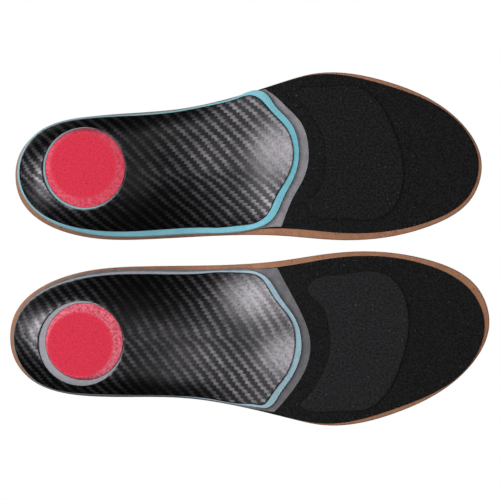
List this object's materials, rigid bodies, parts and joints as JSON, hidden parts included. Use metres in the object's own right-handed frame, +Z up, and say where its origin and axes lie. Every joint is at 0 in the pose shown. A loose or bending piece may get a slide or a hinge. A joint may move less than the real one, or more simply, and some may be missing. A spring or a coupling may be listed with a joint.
{
  "type": "cushioned insole pair",
  "caption": "Full-length moulded insoles for left and right shoe: carbon fibre heel and arch shell, stacked foam layers, round heel pad and crescent forefoot pad.",
  "frame": {"origin": "bottom centre of the pair's bounding box, on the floor the insoles lie on", "axes": "+X heel to toe, +Y towards the wearer's left, +Z up, foot side up"},
  "size_m": [0.273, 0.2002, 0.0271],
  "materials": {
    "carbon_fibre": "clear-coated black 2x2 twill",
    "teal_foam": "fine closed-cell foam, ground edges",
    "grey_foam": "felted foam with a fuzzy ground bevel",
    "black_microfibre": "short matt nap",
    "brown_foam": "matt ground foam with fine dark specks",
    "red_foam": "soft foam, smooth face and rough ground rim"
  },
  "bodies": {
    "right_insole": {"right_carbon_shell": "carbon_fibre", "right_teal_layer": "teal_foam", "right_grey_layer": "grey_foam", "right_base_layer": "black_microfibre", "right_cushion_layer": "brown_foam", "right_forefoot_pad": "black_microfibre", "right_heel_pad": "red_foam"},
    "left_insole": {"left_carbon_shell": "carbon_fibre", "left_teal_layer": "teal_foam", "left_grey_layer": "grey_foam", "left_base_layer": "black_microfibre", "left_cushion_layer": "brown_foam", "left_forefoot_pad": "black_microfibre", "left_heel_pad": "red_foam"}
  },
  "joints": [
    {"name": "left_insole_lift", "type": "slide", "parent": "right_insole", "child": "left_insole", "axis": [0, 0, 1], "range_m": [0, 0.12]}
  ]
}
